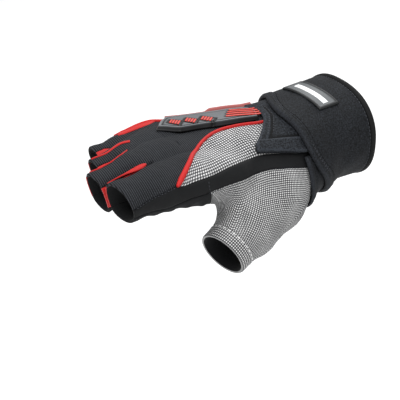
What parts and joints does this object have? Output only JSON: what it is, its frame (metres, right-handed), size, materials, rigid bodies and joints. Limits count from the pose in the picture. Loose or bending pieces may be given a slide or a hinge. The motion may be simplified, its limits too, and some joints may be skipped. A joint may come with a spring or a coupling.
{
  "type": "fingerless fitness glove",
  "caption": "Right-hand fingerless fitness glove in worn form, with ribbed back, mesh thumb, rubber knuckle guard and wound wrist wrap.",
  "frame": {"origin": "centre of the wrist opening, at the mouth's edge", "axes": "+X out of the wrist opening towards the forearm, so the fingers point to -X; +Z out of the back of the hand; -Y to the thumb side"},
  "size_m": [0.185, 0.0976, 0.0761],
  "materials": {
    "knit": "ribbed black knit",
    "smooth": "smooth black woven cloth",
    "mesh": "open grey mesh knit",
    "red": "soft red tape and rubber",
    "rubber": "moulded satin rubber",
    "elastic": "thick black elastic webbing",
    "palm": "suede-like black leather",
    "label": "moulded black rubber",
    "silver": "bare reflective film"
  },
  "bodies": {
    "root": {"back_panel": "knit", "mesh_panel": "mesh", "side_band": "smooth", "outer_panel": "smooth", "palm_panel": "palm", "fourchette_1": "red", "fourchette_2": "red", "fourchette_3": "red", "thumb_sleeve": "mesh", "thumb_hem": "mesh", "piping_near": "red", "piping_far": "red", "cuff_lining": "elastic", "wrist_tab": "elastic", "tab_binding": "elastic", "wrist_wrap": "elastic", "wrap_binding": "smooth", "knuckle_guard": "rubber", "guard_cell_1": "red", "guard_cell_2": "red", "guard_cell_3": "red", "guard_stripe_1": "red", "guard_stripe_2": "red", "guard_stripe_3": "red", "guard_stripe_4": "red", "label": "label", "label_bar": "silver"}
  },
  "joints": []
}
